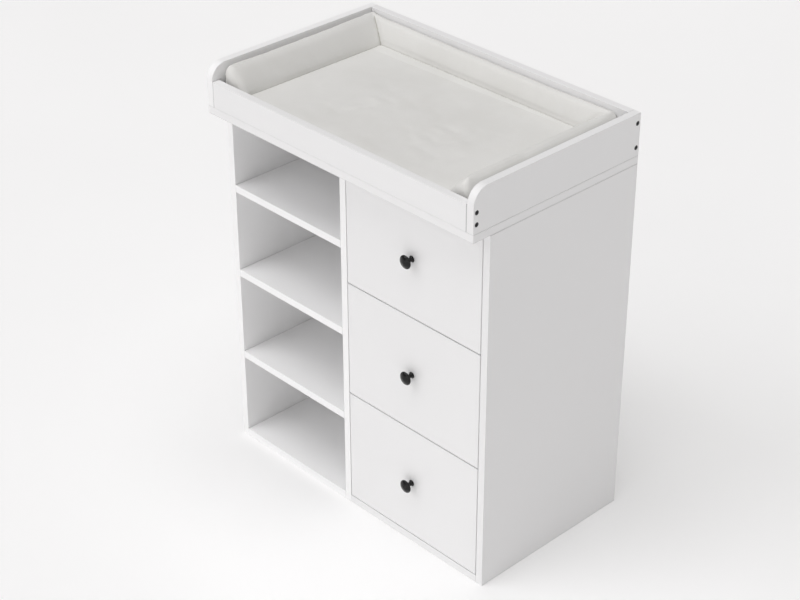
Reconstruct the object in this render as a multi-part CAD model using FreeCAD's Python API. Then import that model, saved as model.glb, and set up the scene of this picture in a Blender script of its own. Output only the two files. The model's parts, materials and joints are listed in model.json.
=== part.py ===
"""Changing dresser: a white board cabinet with an open shelf column on the left and three drawers on the
right, a changing tray of four rails on its overhanging top board, and a contoured pad lying in the tray.

Frame: millimetres, +Z up, +X to the object's right as seen from the front, front facing -Y.
Origin: centre of the footprint, on the floor."""

import FreeCAD, Part
import math
import os

V = FreeCAD.Vector

# ---------------------------------------------------------------- driving dimensions
WIDTH = 800.0            # overall, side panel to side panel
CABINET_DEPTH = 436.0    # side panels, front edge to rear edge
OVERHANG = 48.0          # top board and tray beyond the cabinet front
CABINET_H = 868.0        # floor to the underside of the top board
T = 18.0                 # main board thickness
EDGE_R = 0.8             # softened board edges
RAIL_H = 98.0            # side and back rails of the tray, above the top board
FRONT_RAIL_H = 61.0      # low front rail of the tray
RAIL_ARC_R = 37.0        # rounded front upper corner of the side rails
DIVIDER_X = -34.0        # left face of the centre divider
SHELF_TOPS = (680.0, 462.0, 240.0)   # upper faces of the upper, middle and lower shelves

BACK_T = 3.0             # back panel sheet
GROOVE_W = 3.2           # groove for a 3 mm sheet
GROOVE_D = 8.0           # depth of the back panel groove
BACK_Y = 220.0           # front face of the back panel groove

FRONT_GAP_SIDE = 2.0     # drawer front to panel
FRONT_GAP_Z = 3.0        # drawer front to drawer front
DRAWER_T = 15.0          # drawer sides and back
DRAWER_BOX_H = 200.0
DRAWER_BOX_L = 370.0     # drawer sides, front to rear
DRAWER_BOX_LIFT = 25.0   # drawer side's lower edge above the front's lower edge
RUNNER_GAP = 12.5        # space for a runner, each side
RUNNER_L = 350.0
SHEET_T = 1.2            # runner steel
ROLLER_R = 10.0
ROLLER_BORE_R = 2.08
AXLE_R = 2.0
ROLLER_AXIS_Z = 11.4     # above the cabinet runner's lower face
TRAVEL = 260.0           # drawer travel

KNOB_R = 15.5
KNOB_OUT = 26.5

PAD_X0, PAD_X1 = -378.0, 362.0   # the pad lies against the left rail
PAD_Y0, PAD_Y1 = -215.0, 223.0
PAD_FLAT = 40.0          # thickness of the lying surface
PAD_CREST = 90.0         # height of the raised edges

# ---------------------------------------------------------------- derived planes
XL, XR = -WIDTH / 2, WIDTH / 2
XLI, XRI = XL + T, XR - T                        # inner faces of the side panels
Y_REAR = (CABINET_DEPTH + OVERHANG) / 2          # 242
Y_CAB = Y_REAR - CABINET_DEPTH                   # -194, cabinet front
Y_TOP = Y_CAB - OVERHANG                         # -242, top board front
XD0, XD1 = DIVIDER_X, DIVIDER_X + T              # divider faces
Z_TOP = CABINET_H + T                            # upper face of the top board
XC = (XD1 + XRI) / 2                             # centre of the drawer column


# ---------------------------------------------------------------- helpers
def box(x0, x1, y0, y1, z0, z1):
    return Part.makeBox(x1 - x0, y1 - y0, z1 - z0, V(x0, y0, z0))


def board(x0, x1, y0, y1, z0, z1, r=EDGE_R):
    """A board with every edge softened."""
    b = box(x0, x1, y0, y1, z0, z1)
    return b.makeFillet(r, b.Edges)


def cyl(r, p, d, length):
    return Part.makeCylinder(r, length, V(*p), V(*d))


def cone(r0, r1, p, d, length):
    return Part.makeCone(r0, r1, length, V(*p), V(*d))


def at(p, d, s):
    return tuple(p[i] + d[i] * s for i in range(3))


def cross(a, b):
    return (a[1] * b[2] - a[2] * b[1], a[2] * b[0] - a[0] * b[2], a[0] * b[1] - a[1] * b[0])


def neg(d):
    return tuple(-v for v in d)


def obox(p, u, ul, v, vl, w, wl):
    """A box at p with signed ranges along three unit axes of the frame."""
    lo, hi = [0.0] * 3, [0.0] * 3
    for i in range(3):
        a = [p[i]] * 2
        for axis, rng in ((u, ul), (v, vl), (w, wl)):
            k = [axis[i] * rng[0], axis[i] * rng[1]]
            a[0] += min(k)
            a[1] += max(k)
        lo[i], hi[i] = a
    return box(lo[0], hi[0], lo[1], hi[1], lo[2], hi[2])


def turned(profile, p, d):
    """A solid of revolution: profile is (distance along d, radius) pairs, from the axis back to the axis."""
    ref = (1.0, 0.0, 0.0) if abs(d[0]) < 0.5 else (0.0, 1.0, 0.0)
    pts = [V(*(p[i] + d[i] * s + ref[i] * r for i in range(3))) for s, r in profile]
    pts.append(pts[0])
    face = Part.Face(Part.makePolygon(pts))
    return face.revolve(V(*p), V(*d), 360)


def cross_recess(p, d, size, depth):
    """Two crossing slots cut into a face at p, going in along d."""
    ref = (1.0, 0.0, 0.0) if abs(d[0]) < 0.5 else (0.0, 1.0, 0.0)
    oth = cross(d, ref)
    w = size * 0.17
    return [obox(p, ref, (-size / 2, size / 2), oth, (-w, w), d, (-0.5, depth)),
            obox(p, ref, (-w, w), oth, (-size / 2, size / 2), d, (-0.5, depth))]


cuts = {}      # node -> list of cutting shapes
hard = {}      # node -> list of hardware solids


def cut(node, *shapes):
    cuts.setdefault(node, []).extend(shapes)


def add(node, *shapes):
    hard.setdefault(node, []).extend(shapes)


# ---------------------------------------------------------------- knock-down joinery
CAM_DIST = 34.0          # joint face to the middle of the cam disc


def cam_joint(face_node, end_node, p, d, n, depth, disc_node, bolt_node):
    """A connecting bolt screwed into face_node at p, reaching along d into the end of end_node, and held by a
    cam disc let in from the surface that lies `depth` along n from the bolt's axis."""
    cut(face_node, cyl(2.55, p, neg(d), 11.6))
    cut(end_node, cyl(4.0, p, d, CAM_DIST))
    c = at(p, d, CAM_DIST)
    s = at(c, n, depth)
    cut(end_node, cyl(7.5, s, neg(n), 12.7))
    bolt = turned([(-11.4, 0), (-11.4, 1.6), (-10.2, 2.5), (0, 2.5), (0, 3.8), (2.0, 3.8), (2.4, 2.9), (26.6, 2.9),
                   (27.4, 1.9), (30.8, 1.9), (31.8, 3.2), (35.2, 3.2), (36.0, 2.4), (36.0, 0)], p, d)
    add(bolt_node, bolt)
    disc = cyl(7.4, at(s, n, -0.15), neg(n), 12.3)
    m = cross(d, n)
    slot = obox(s, d, (-8.0, 4.0), m, (-3.7, 3.7), n, (-13.2, -(depth - 3.9)))
    disc = disc.cut([slot] + cross_recess(at(s, n, -0.15), neg(n), 7.0, 2.0))
    add(disc_node, disc)


def dowel_joint(face_node, end_node, p, d, node="wood_dowels"):
    """A beech dowel, 11 mm in the face and 19 mm in the end."""
    cut(face_node, cyl(4.05, p, neg(d), 12.0))
    cut(end_node, cyl(4.05, p, d, 20.0))
    add(node, turned([(-11.4, 0), (-11.4, 3.0), (-10.4, 4.0), (18.2, 4.0), (19.2, 3.0), (19.2, 0)], p, d))


def confirmat(node, p, d, near, far, hole_near=18.0, length=50.0):
    """A furniture screw with a hexagon socket, its head flush in `near` at p, running along d into `far`."""
    cut(near, cyl(3.6, p, d, hole_near + 0.01), cyl(5.35, p, d, 0.9), cone(5.35, 3.6, at(p, d, 0.89), d, 3.0))
    cut(far, cyl(2.6, at(p, d, hole_near - 0.01), d, length - hole_near + 0.6))
    s = turned([(0.15, 0), (0.15, 4.9), (0.4, 5.2), (0.8, 5.2), (3.6, 3.45), (hole_near - 1.0, 3.45), (hole_near + 0.2, 2.45),
                (length - 2.5, 2.45), (length, 0.8), (length, 0)], p, d)
    ref = (0.0, 0.0, 1.0) if abs(d[2]) < 0.5 else (1.0, 0.0, 0.0)
    oth = cross(d, ref)
    c = at(p, d, -0.5)
    pts = []
    for k in range(6):
        a = math.radians(60 * k + 30)
        q = at(at(c, ref, 2.31 * math.cos(a)), oth, 2.31 * math.sin(a))
        pts.append(V(*q))
    pts.append(pts[0])
    hexa = Part.Face(Part.makePolygon(pts)).extrude(V(*d) * 3.4)
    add(node, s.cut(hexa))


def wood_screw(node, p, d, near, far, through, length, r=1.9, head_r=3.9):
    """A countersunk cross-head screw, head flush in `near` at p, running along d into `far`."""
    cut(near, cyl(r + 0.2, p, d, through + 0.01), cyl(head_r + 0.15, p, d, 0.6),
        cone(head_r + 0.15, r + 0.2, at(p, d, 0.59), d, head_r - r))
    cut(far, cyl(r + 0.05, at(p, d, through - 0.01), d, length - through + 0.6))
    s = turned([(0.1, 0), (0.1, head_r), (0.4, head_r), (head_r - r + 0.4, r), (length - 3, r), (length, 0.4),
                (length, 0)], p, d)
    add(node, s.cut(cross_recess(at(p, d, 0.1), d, head_r * 1.1, 1.4)))


def thin_screw(node, p, d, sheet, far, t=SHEET_T, length=12.0, r=1.5, head_r=3.0, head_t=0.9):
    """A low-head screw through a steel sheet of thickness t that lies on `far`; p is on the sheet's outer face."""
    s = turned([(-head_t, 0), (-head_t, head_r - 0.3), (-head_t + 0.3, head_r), (0, head_r), (0, r),
                (length - 2, r), (length, 0.4), (length, 0)], p, d)
    add(node, s.cut(cross_recess(at(p, d, -head_t), d, head_r * 1.3, 0.5)))
    cut(sheet, cyl(r + 0.1, at(p, d, -0.1), d, t + 0.2))
    cut(far, cyl(r + 0.05, at(p, d, t - 0.01), d, length - t + 0.6))


# ---------------------------------------------------------------- cabinet boards
body = {}
body["left_side_panel"] = board(XL, XLI, Y_CAB, Y_REAR, 0, CABINET_H)
body["right_side_panel"] = board(XRI, XR, Y_CAB, Y_REAR, 0, CABINET_H)
body["center_divider"] = board(XD0, XD1, Y_CAB, BACK_Y, 0, CABINET_H)
body["left_bottom_panel"] = board(XLI, XD0, Y_CAB, BACK_Y, 0, T)
body["right_bottom_panel"] = board(XD1, XRI, Y_CAB, BACK_Y, 0, T)
body["top_board"] = board(XL, XR, Y_TOP, Y_REAR, CABINET_H, Z_TOP, 1.0)
for name, z in zip(("upper_shelf", "middle_shelf", "lower_shelf"), SHELF_TOPS):
    body[name] = board(XLI, XD0, Y_CAB, BACK_Y, z - T, z)

# back panel sheet, let into grooves in the side panels and top board, over the rear ends of the inner boards
gy0, gy1 = BACK_Y, BACK_Y + GROOVE_W
cut("left_side_panel", box(XLI - GROOVE_D, XLI + 2, gy0, gy1, -1, CABINET_H + 1))
cut("right_side_panel", box(XRI - 2, XRI + GROOVE_D, gy0, gy1, -1, CABINET_H + 1))
cut("top_board", box(XLI - GROOVE_D, XRI + GROOVE_D, gy0, gy1, CABINET_H - 1, CABINET_H + GROOVE_D))
body["back_panel"] = box(XLI - GROOVE_D + 0.5, XRI + GROOVE_D - 0.5, gy0, gy0 + BACK_T, 1.5,
                         CABINET_H + GROOVE_D - 0.5)

# horizontal boards into the upright ones
for name, z, ya, yb in (("upper_shelf", SHELF_TOPS[0] - T / 2, (-150, 165), (-112, 127)),
                        ("middle_shelf", SHELF_TOPS[1] - T / 2, (-150, 165), (-112, 127)),
                        ("lower_shelf", SHELF_TOPS[2] - T / 2, (-150, 165), (-112, 127)),
                        ("left_bottom_panel", T / 2, (-150, 165), (-112, 127))):
    for y in ya:
        cam_joint("left_side_panel", name, (XLI, y, z), (1, 0, 0), (0, 0, -1), T / 2, "cam_discs", "cam_bolts")
        cam_joint("center_divider", name, (XD0, y, z), (-1, 0, 0), (0, 0, -1), T / 2, "cam_discs", "cam_bolts")
    for y in yb:
        dowel_joint("left_side_panel", name, (XLI, y, z), (1, 0, 0))
        dowel_joint("center_divider", name, (XD0, y, z), (-1, 0, 0))
for y in (-131, 146):
    cam_joint("center_divider", "right_bottom_panel", (XD1, y, T / 2), (1, 0, 0), (0, 0, -1), T / 2, "cam_discs", "cam_bolts")
    cam_joint("right_side_panel", "right_bottom_panel", (XRI, y, T / 2), (-1, 0, 0), (0, 0, -1), T / 2, "cam_discs", "cam_bolts")
for y in (-90, 105):
    dowel_joint("center_divider", "right_bottom_panel", (XD1, y, T / 2), (1, 0, 0))
    dowel_joint("right_side_panel", "right_bottom_panel", (XRI, y, T / 2), (-1, 0, 0))
# upright boards into the top board
for name, x, n in (("left_side_panel", XL + T / 2, (1, 0, 0)), ("center_divider", XD0 + T / 2, (1, 0, 0)),
                   ("right_side_panel", XR - T / 2, (-1, 0, 0))):
    for y in (-150, 165):
        cam_joint("top_board", name, (x, y, CABINET_H), (0, 0, -1), n, T / 2, "cam_discs", "cam_bolts")
    for y in (-105, 15, 120):
        dowel_joint("top_board", name, (x, y, CABINET_H), (0, 0, -1))

# ---------------------------------------------------------------- changing tray
def side_rail(x0, x1):
    z0, z1 = Z_TOP, Z_TOP + RAIL_H
    r = RAIL_ARC_R
    a = V(x0, Y_TOP, z0)
    b = V(x0, Y_TOP, z1 - r)
    k = r * (1 - math.cos(math.radians(45)))
    m = V(x0, Y_TOP + k, z1 - k)
    c = V(x0, Y_TOP + r, z1)
    d = V(x0, Y_REAR, z1)
    e = V(x0, Y_REAR, z0)
    w = Part.Wire([Part.makeLine(a, b), Part.Arc(b, m, c).toShape(), Part.makeLine(c, d), Part.makeLine(d, e),
                   Part.makeLine(e, a)])
    s = Part.Face(w).extrude(V(x1 - x0, 0, 0))
    return s.makeFillet(1.0, s.Edges)


body["tray_left_rail"] = side_rail(XL, XLI)
body["tray_right_rail"] = side_rail(XRI, XR)
body["tray_front_rail"] = board(XLI, XRI, Y_TOP, Y_TOP + T, Z_TOP, Z_TOP + FRONT_RAIL_H, 1.0)
body["tray_back_rail"] = board(XLI, XRI, Y_REAR - T, Y_REAR, Z_TOP, Z_TOP + RAIL_H, 1.0)
for sx, rail in ((-1, "tray_left_rail"), (1, "tray_right_rail")):
    for y, z, far in ((Y_TOP + T / 2, 21.0, "tray_front_rail"), (Y_TOP + T / 2, 47.0, "tray_front_rail"),
                      (Y_REAR - T / 2, 21.0, "tray_back_rail"), (Y_REAR - T / 2, 76.0, "tray_back_rail")):
        confirmat("tray_corner_screws", (sx * XR, y, Z_TOP + z), (-sx, 0, 0), rail, far)
    for y in (-180, 0, 190):
        dowel_joint("top_board", rail, (sx * (XR - T / 2), y, Z_TOP), (0, 0, 1))
for x in (-300, 0, 300):
    wood_screw("tray_fixing_screws", (x, Y_TOP + T / 2, CABINET_H), (0, 0, 1), "top_board", "tray_front_rail", T, 45.0)
    wood_screw("tray_fixing_screws", (x, Y_REAR - T / 2, CABINET_H), (0, 0, 1), "top_board", "tray_back_rail", T, 45.0)

# small screws through the back panel into the rear ends of the divider, shelves and bottoms
back_screw_at = [(x, z, n) for n, z in (("upper_shelf", SHELF_TOPS[0] - T / 2), ("middle_shelf", SHELF_TOPS[1] - T / 2),
                                        ("lower_shelf", SHELF_TOPS[2] - T / 2), ("left_bottom_panel", T / 2))
                 for x in (-320.0, -97.0)]
back_screw_at += [(x, T / 2, "right_bottom_panel") for x in (45.0, 182.5, 320.0)]
back_screw_at += [(XD0 + T / 2, z, "center_divider") for z in (60.0, 340.0, 570.0, 800.0)]
for x, z, far in back_screw_at:
    thin_screw("cabinet_screws", (x, BACK_Y + BACK_T, z), (0, -1, 0), "back_panel", far, t=BACK_T, length=16.0)

# ---------------------------------------------------------------- wall brackets behind the back panel
BRACKET_X, BRACKET_Z = 200.0, 848.0
for sx in (-1, 1):
    x = sx * BRACKET_X
    leg = box(x - 15, x + 15, 226.0, Y_REAR, CABINET_H - 1.5, CABINET_H)
    plate = box(x - 15, x + 15, Y_REAR - 1.5, Y_REAR, CABINET_H - 34, CABINET_H)
    b = leg.fuse(plate).removeSplitter()
    up = [e for e in plate.Edges if abs(e.Length - 1.5) < 0.01]
    b = b.cut(cyl(2.5, (x, Y_REAR - 3, BRACKET_Z), (0, 1, 0), 5))
    add("wall_brackets", b)
    for dx in (-9, 9):
        p = (x + dx, 233.0, CABINET_H - 1.5)
        thin_screw("cabinet_screws", p, (0, 0, 1), "wall_brackets", "top_board", t=1.5, length=13.0)

# ---------------------------------------------------------------- drawer fronts, boxes, knobs, runners
n_drawers = 3
front_h = (CABINET_H - T - 2 * FRONT_GAP_SIDE - (n_drawers - 1) * FRONT_GAP_Z) / n_drawers   # 280
bx0, bx1 = XD1 + RUNNER_GAP, XRI - RUNNER_GAP          # outer faces of the drawer sides
ix0, ix1 = bx0 + DRAWER_T, bx1 - DRAWER_T              # inner faces
y_f = Y_CAB + T                                        # back face of the drawer front
y_e = y_f + DRAWER_BOX_L                               # rear end of the drawer sides
ry0 = y_f + 2.0                                        # front end of the runners
ry1 = ry0 + RUNNER_L
roller_front_y = ry0 + 13.0
roller_rear_y = ry1 - 14.0


def mirror_x(shape):
    return shape.mirror(V(XC, 0, 0), V(1, 0, 0))


def cabinet_runner(z):
    """Steel channel on the right side panel, open towards the drawer, with the front roller's axle."""
    xw = XRI
    web = box(xw - SHEET_T, xw, ry0, ry1, z, z + 30)
    low = box(xw - 10.5, xw, ry0, ry1, z, z + SHEET_T)
    top = box(xw - 8.5, xw, ry0, ry1, z + 30 - SHEET_T, z + 30)
    stop_y = ry1 - 6.0 - TRAVEL - 0.4
    stop = box(xw - 8.0, xw, stop_y - 2.0, stop_y, z + 24.2, z + 30)
    axle = cyl(AXLE_R, (xw - 0.2, roller_front_y, z + ROLLER_AXIS_Z), (-1, 0, 0), 9.2)
    head = cyl(3.4, (xw - 8.6, roller_front_y, z + ROLLER_AXIS_Z), (-1, 0, 0), 0.9)
    s = web.fuse([low, top, stop, axle, head]).removeSplitter()
    return s


def drawer_runner(z):
    """Steel angle under the right drawer side, with a track over the front roller and the rear roller's axle."""
    xw = bx1
    web = box(xw, xw + SHEET_T, ry0, ry1, z + 1.9, z + 22.8)
    wrap = box(xw - 13.0, xw + SHEET_T, ry0, ry1, z + 1.9, z + 3.1)
    track = box(xw, xw + 9.8, ry0, ry1, z + 21.6, z + 22.8)
    tab = box(xw + 4.5, xw + 9.8, ry1 - 6.0, ry1 - 4.0, z + 21.6, z + 26.6)
    axle = cyl(AXLE_R, (xw + 0.2, roller_rear_y, z + ROLLER_AXIS_Z), (1, 0, 0), 9.0)
    head = cyl(3.4, (xw + 8.4, roller_rear_y, z + ROLLER_AXIS_Z), (1, 0, 0), 0.9)
    return web.fuse([wrap, track, tab, axle, head]).removeSplitter()


def roller(x0, x1, y, z):
    w = x1 - x0
    r = turned([(0, ROLLER_BORE_R), (0, 4.2), (0.9, 4.6), (0.9, 7.6), (0, 8.0), (0, 9.5), (0.5, ROLLER_R),
                (w - 0.5, ROLLER_R), (w, 9.5), (w, 8.0), (w - 0.9, 7.6), (w - 0.9, 4.6), (w, 4.2), (w, ROLLER_BORE_R)],
               (x0, y, z), (1, 0, 0))
    return r


def knob(x, y, z):
    """A turned mushroom knob: foot flange, waisted neck and domed head, bored for its machine screw."""
    d = (0, -1, 0)
    p = (x, y, z)

    def q(s, r):
        return V(x + r, y - s, z)
    h = KNOB_OUT - 20.2
    rs = (h * h + 14.6 * 14.6) / (2 * h)               # sphere radius of the domed face
    c = KNOB_OUT - rs
    a = math.asin(14.6 / rs)
    e = [Part.makeLine(q(0, 0), q(0, 7.4)),
         Part.Arc(q(0, 7.4), q(0.75, 7.75), q(1.5, 7.4)).toShape(),
         Part.Arc(q(1.5, 7.4), q(6.2, 4.7), q(12.4, 6.0)).toShape(),
         Part.Arc(q(12.4, 6.0), q(14.4, 9.0), q(16.0, 13.6)).toShape(),
         Part.Arc(q(16.0, 13.6), q(18.1, KNOB_R), q(20.2, 14.6)).toShape(),
         Part.Arc(q(20.2, 14.6), q(c + rs * math.cos(a / 2), rs * math.sin(a / 2)), q(KNOB_OUT, 0)).toShape(),
         Part.makeLine(q(KNOB_OUT, 0), q(0, 0))]
    s = Part.Face(Part.Wire(e)).revolve(V(*p), V(*d), 360)
    return s.cut(cyl(1.95, at(p, d, -0.5), d, 13.5))


for i in range(n_drawers):
    n = i + 1                                          # 1 is the top drawer
    tag = "drawer_%d_" % n
    zf0 = T + FRONT_GAP_SIDE + (n_drawers - 1 - i) * (front_h + FRONT_GAP_Z)
    zf1 = zf0 + front_h
    zb = zf0 + DRAWER_BOX_LIFT                         # lower edge of the box
    zt = zb + DRAWER_BOX_H
    zr = zb - 3.1                                      # lower face of the cabinet runner
    zk = (zf0 + zf1) / 2
    front, left, right = tag + "front", tag + "left_side", tag + "right_side"
    back, sheet, kn = tag + "back", tag + "bottom", tag + "knob"
    body[front] = board(XD1 + FRONT_GAP_SIDE, XRI - FRONT_GAP_SIDE, Y_CAB, y_f, zf0, zf1, 1.0)
    body[left] = board(bx0, ix0, y_f, y_e, zb, zt, 1.0)
    body[right] = board(ix1, bx1, y_f, y_e, zb, zt, 1.0)
    body[back] = board(ix0, ix1, y_e - DRAWER_T, y_e, zb, zt - 12, 1.0)
    g0, g1 = zb + 10.0, zb + 10.0 + GROOVE_W
    cut(front, box(ix0 - 5, ix1 + 5, y_f - 5, y_f + 1, g0, g1))
    cut(left, box(ix0 - 5, ix0 + 1, y_f - 1, y_e + 1, g0, g1))
    cut(right, box(ix1 - 1, ix1 + 5, y_f - 1, y_e + 1, g0, g1))
    cut(back, box(ix0 - 1, ix1 + 1, y_e - DRAWER_T - 1, y_e - DRAWER_T + 5, g0, g1))
    body[sheet] = box(ix0 - 4.7, ix1 + 4.7, y_f - 4.7, y_e - DRAWER_T + 4.7, g0 + 0.1, g0 + 0.1 + BACK_T)
    for z in (zb + 62, zb + 158):
        cam_joint(front, left, (bx0 + DRAWER_T / 2, y_f, z), (0, 1, 0), (-1, 0, 0), DRAWER_T / 2,
                  tag + "cam_fittings", tag + "cam_fittings")
        cam_joint(front, right, (bx1 - DRAWER_T / 2, y_f, z), (0, 1, 0), (1, 0, 0), DRAWER_T / 2,
                  tag + "cam_fittings", tag + "cam_fittings")
    for z in (zb + 50, zb + 150):
        wood_screw(tag + "screws", (bx0, y_e - DRAWER_T / 2, z), (1, 0, 0), left, back, DRAWER_T, 45.0)
        wood_screw(tag + "screws", (bx1, y_e - DRAWER_T / 2, z), (-1, 0, 0), right, back, DRAWER_T, 45.0)
    # knob and its machine screw
    body[kn] = knob(XC, Y_CAB, zk)
    cut(front, cyl(2.3, (XC, Y_CAB - 1, zk), (0, 1, 0), T + 2))
    s = turned([(-2.4, 0), (-2.4, 2.6), (-1.6, 3.6), (0, 4.0), (0, 1.9), (T + 12.0, 1.9), (T + 12.4, 1.4),
                (T + 12.4, 0)], (XC, y_f, zk), (0, -1, 0))
    add(tag + "screws", s.cut(cross_recess((XC, y_f + 2.4, zk), (0, -1, 0), 4.2, 1.3)))
    # runners: right one modelled, left one mirrored
    rr, rl = tag + "right_runner", tag + "left_runner"
    body[rr] = drawer_runner(zr)
    body[rl] = mirror_x(body[rr])
    cr = cabinet_runner(zr)
    add("right_cabinet_runners", cr)
    add("left_cabinet_runners", mirror_x(cr))
    for y in (-120.0, 30.0, 120.0):
        thin_screw(tag + "screws", (bx1 + SHEET_T, y, zr + 12.0), (-1, 0, 0), rr, right)
        thin_screw(tag + "screws", (bx0 - SHEET_T, y, zr + 12.0), (1, 0, 0), rl, left)
    for y in (-140.0, 0.0, 150.0):
        thin_screw("cabinet_screws", (XRI - SHEET_T, y, zr + 12.0), (1, 0, 0), "right_cabinet_runners", "right_side_panel")
        thin_screw("cabinet_screws", (XD1 + SHEET_T, y, zr + 12.0), (-1, 0, 0), "left_cabinet_runners", "center_divider")
    # rollers
    fr = roller(XRI - 8.4, XRI - 1.9, roller_front_y, zr + ROLLER_AXIS_Z)
    re = roller(bx1 + 1.8, bx1 + 8.2, roller_rear_y, zr + ROLLER_AXIS_Z)
    add(tag + "front_rollers", fr, mirror_x(fr))
    add(tag + "rear_rollers", re, mirror_x(re))

# ---------------------------------------------------------------- contoured pad: base slab and three wedges
zp = Z_TOP


def prism(points, direction, length):
    w = Part.makePolygon([V(*p) for p in points + [points[0]]])
    return Part.Face(w).extrude(V(*direction) * length)


c, f = PAD_CREST, PAD_FLAT
px = (PAD_X0 + PAD_X1) / 2
half_w = (PAD_X1 - PAD_X0) / 2
slab = box(PAD_X0, PAD_X1, PAD_Y0, PAD_Y1, zp, zp + f)


def side_wedge(sx):
    """The raised edge on one side: upright outer face, narrow crest and a slope down to the lying surface."""
    prof = ((0, f), (0, c - 10), (8, c), (20, c), (68, f))
    return prism([(px + sx * (half_w - a), PAD_Y0, zp + h) for a, h in prof], (0, 1, 0), PAD_Y1 - PAD_Y0)


back_w = prism([(PAD_X0, PAD_Y1, zp + f), (PAD_X0, PAD_Y1, zp + c - 8), (PAD_X0, PAD_Y1 - 6, zp + c),
                (PAD_X0, PAD_Y1 - 14, zp + c), (PAD_X0, PAD_Y1 - 38, zp + f)], (1, 0, 0), 2 * half_w)
# the back wedge is mitred against the inner slopes of the side wedges
for sx in (-1, 1):
    prof = ((72.8, f - 5), (-20, f - 5), (-20, c + 5), (15.2, c + 5))
    back_w = back_w.cut(prism([(px + sx * (half_w - a), PAD_Y0 - 5, zp + h) for a, h in prof], (0, 1, 0),
                              PAD_Y1 - PAD_Y0 + 10))
left_w, right_w = side_wedge(-1), side_wedge(1)
add("changing_pad", slab, left_w, right_w, back_w)

# ---------------------------------------------------------------- write every node
os.makedirs("parts", exist_ok=True)
for name in sorted(set(body) | set(hard)):
    tools = cuts.get(name, [])
    if name in body:
        s = body[name]
        if tools:
            s = s.cut(tools)
        solids = s.Solids
    else:
        solids = []
        for s in hard[name]:
            mine = [t for t in tools if t.BoundBox.intersect(s.BoundBox)]
            if mine:
                s = s.cut(mine)
            solids += s.Solids
    assert solids, name
    for s in solids:
        assert s.isValid() and s.Volume > 0, name
    if name in body:
        assert len(solids) == 1, (name, len(solids))
    shape = solids[0] if len(solids) == 1 else Part.makeCompound(solids)
    shape.exportStep("parts/%s.step" % name)
print("nodes", len(set(body) | set(hard)), "front height", front_h)
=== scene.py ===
import json
import math

import bmesh
import bpy
import numpy as np
from mathutils import Matrix, Vector, noise


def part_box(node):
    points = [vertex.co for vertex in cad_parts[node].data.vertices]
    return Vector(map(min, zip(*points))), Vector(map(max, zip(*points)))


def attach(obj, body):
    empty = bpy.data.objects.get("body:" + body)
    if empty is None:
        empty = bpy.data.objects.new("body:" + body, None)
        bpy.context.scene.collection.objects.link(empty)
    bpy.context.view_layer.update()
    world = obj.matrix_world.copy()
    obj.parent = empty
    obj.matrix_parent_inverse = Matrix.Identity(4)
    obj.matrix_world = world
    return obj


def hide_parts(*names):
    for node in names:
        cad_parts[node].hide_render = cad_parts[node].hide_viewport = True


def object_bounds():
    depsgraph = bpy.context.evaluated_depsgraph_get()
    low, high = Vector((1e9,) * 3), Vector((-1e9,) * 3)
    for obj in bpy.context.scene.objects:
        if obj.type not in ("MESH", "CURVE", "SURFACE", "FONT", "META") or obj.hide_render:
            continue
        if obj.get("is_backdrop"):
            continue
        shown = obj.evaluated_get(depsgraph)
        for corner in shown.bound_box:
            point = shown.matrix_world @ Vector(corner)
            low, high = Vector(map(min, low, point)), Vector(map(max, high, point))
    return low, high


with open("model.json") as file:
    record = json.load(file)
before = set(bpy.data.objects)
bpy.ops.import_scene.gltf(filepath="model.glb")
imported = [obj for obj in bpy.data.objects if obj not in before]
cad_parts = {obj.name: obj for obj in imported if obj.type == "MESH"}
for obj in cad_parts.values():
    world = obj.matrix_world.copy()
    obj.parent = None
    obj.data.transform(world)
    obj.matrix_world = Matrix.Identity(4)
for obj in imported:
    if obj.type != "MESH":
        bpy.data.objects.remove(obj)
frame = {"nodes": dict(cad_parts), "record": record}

scene = bpy.context.scene
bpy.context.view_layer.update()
nodes = frame["nodes"]


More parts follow.
